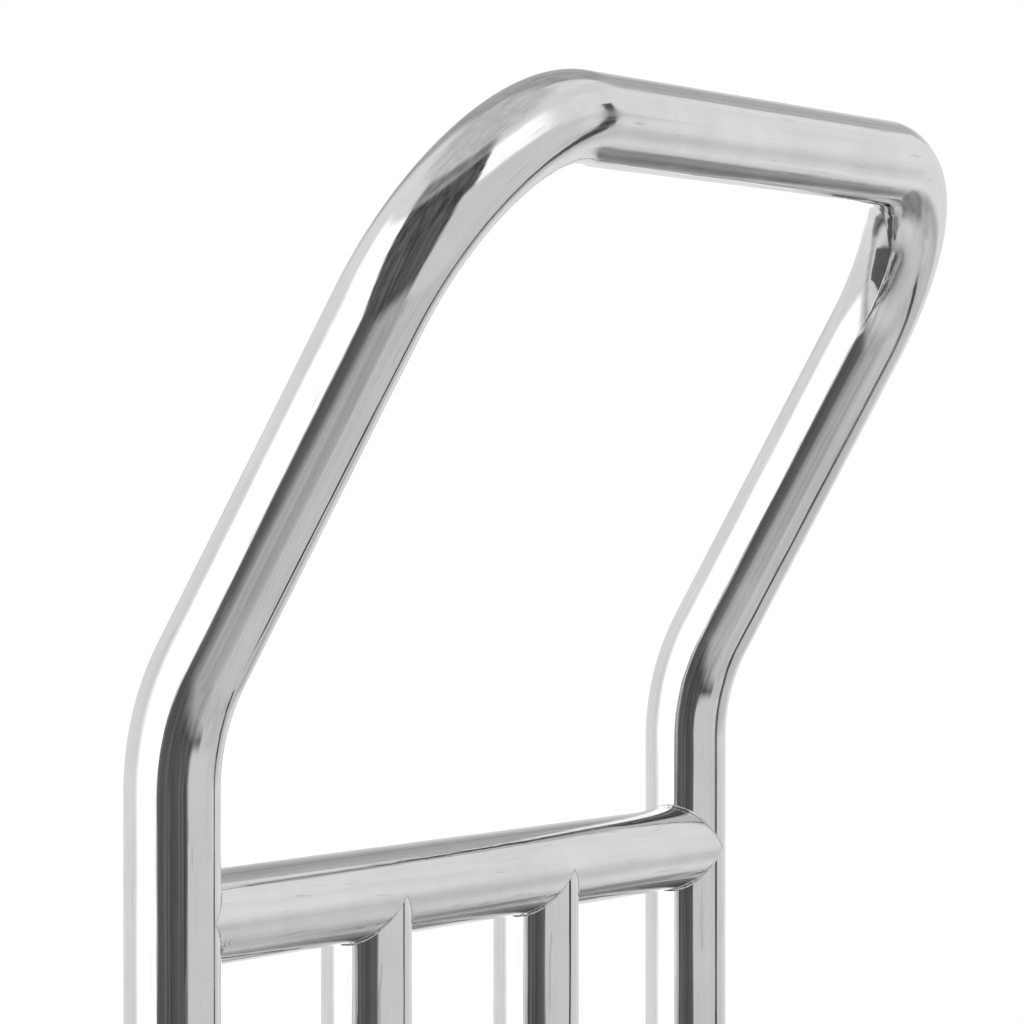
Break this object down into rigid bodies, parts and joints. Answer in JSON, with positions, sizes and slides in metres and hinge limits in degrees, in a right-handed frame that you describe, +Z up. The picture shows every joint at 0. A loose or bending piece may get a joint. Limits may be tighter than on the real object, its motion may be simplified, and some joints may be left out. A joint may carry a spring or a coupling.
{
  "type": "luggage cart",
  "caption": "Platform luggage cart with a bent tubular push handle, carpeted deck in a steel rim, rubber bumper, fixed front wheels and braked swivel castors.",
  "frame": {"origin": "on the floor, under the middle of the cart's outline", "axes": "+X along the deck towards the push handle, +Y towards the left castors, +Z up"},
  "size_m": [1.0901, 0.6282, 0.969],
  "materials": {
    "polished_steel": "mirror polished stainless steel",
    "frame_paint": "satin black powder coat",
    "zinc": "bright zinc plate",
    "bearing_steel": "ground and polished",
    "plywood": "sealed birch plywood",
    "carpet": "cut pile, matt",
    "bumper_rubber": "matt, slightly textured",
    "tyre_rubber": "grey non-marking rubber, matt",
    "wheel_core": "moulded nylon, fine spark texture"
  },
  "bodies": {
    "root": {"handle_tube": "polished_steel", "upper_rail": "polished_steel", "inner_bars": "polished_steel", "tube_plugs": "zinc", "handle_bolts": "zinc", "handle_washers": "zinc", "tube_collars": "polished_steel", "deck_rim": "polished_steel", "beam_left": "frame_paint", "beam_right": "frame_paint", "handle_beam": "frame_paint", "cross_beams": "frame_paint", "outriggers": "frame_paint", "castor_pads": "frame_paint", "deck_panel": "plywood", "deck_screws": "zinc", "deck_carpet": "carpet", "sill_plate": "polished_steel", "bumper": "bumper_rubber", "rear_left_plate": "zinc", "rear_left_balls": "bearing_steel", "rear_left_kingpin": "zinc", "rear_left_kingpin_nut": "zinc", "rear_right_plate": "zinc", "rear_right_balls": "bearing_steel", "rear_right_kingpin": "zinc", "rear_right_kingpin_nut": "zinc", "front_left_bracket": "zinc", "front_right_bracket": "zinc", "front_axles": "zinc", "front_axle_nuts": "zinc", "front_sleeves": "zinc", "castor_bolts": "zinc", "castor_nuts": "zinc"},
    "rear_left_castor": {"rear_left_fork": "zinc", "rear_left_axle": "zinc", "rear_left_axle_nut": "zinc", "rear_left_sleeve": "zinc", "rear_left_brake_pin": "zinc", "rear_left_brake_spring": "zinc"},
    "rear_left_wheel": {"rear_left_hub": "wheel_core", "rear_left_bearings": "bearing_steel", "rear_left_tyre": "tyre_rubber"},
    "rear_left_brake": {"rear_left_brake_pedal": "zinc"},
    "front_left_wheel": {"front_left_hub": "wheel_core", "front_left_bearings": "bearing_steel", "front_left_tyre": "tyre_rubber"},
    "rear_right_castor": {"rear_right_fork": "zinc", "rear_right_axle": "zinc", "rear_right_axle_nut": "zinc", "rear_right_sleeve": "zinc", "rear_right_brake_pin": "zinc", "rear_right_brake_spring": "zinc"},
    "rear_right_wheel": {"rear_right_hub": "wheel_core", "rear_right_bearings": "bearing_steel", "rear_right_tyre": "tyre_rubber"},
    "rear_right_brake": {"rear_right_brake_pedal": "zinc"},
    "front_right_wheel": {"front_right_hub": "wheel_core", "front_right_bearings": "bearing_steel", "front_right_tyre": "tyre_rubber"}
  },
  "joints": [
    {"name": "rear_left_swivel", "type": "hinge", "parent": "root", "child": "rear_left_castor", "pos_m": [0.29905, 0.19, 0.19], "axis": [0, 0, 1], "continuous": true},
    {"name": "rear_left_wheel_spin", "type": "hinge", "parent": "rear_left_castor", "child": "rear_left_wheel", "pos_m": [0.33705, 0.19, 0.08], "axis": [0, 1, 0], "continuous": true},
    {"name": "rear_left_brake", "type": "hinge", "parent": "rear_left_castor", "child": "rear_left_brake", "pos_m": [0.35505, 0.19, 0.164], "axis": [0, 1, 0], "range_deg": [0, 12]},
    {"name": "front_left_wheel_spin", "type": "hinge", "parent": "root", "child": "front_left_wheel", "pos_m": [-0.39095, 0.19, 0.08], "axis": [0, 1, 0], "continuous": true},
    {"name": "rear_right_swivel", "type": "hinge", "parent": "root", "child": "rear_right_castor", "pos_m": [0.29905, -0.19, 0.19], "axis": [0, 0, 1], "continuous": true},
    {"name": "rear_right_wheel_spin", "type": "hinge", "parent": "rear_right_castor", "child": "rear_right_wheel", "pos_m": [0.33705, -0.19, 0.08], "axis": [0, 1, 0], "continuous": true},
    {"name": "rear_right_brake", "type": "hinge", "parent": "rear_right_castor", "child": "rear_right_brake", "pos_m": [0.35505, -0.19, 0.164], "axis": [0, 1, 0], "range_deg": [0, 12]},
    {"name": "front_right_wheel_spin", "type": "hinge", "parent": "root", "child": "front_right_wheel", "pos_m": [-0.39095, -0.19, 0.08], "axis": [0, 1, 0], "continuous": true}
  ]
}
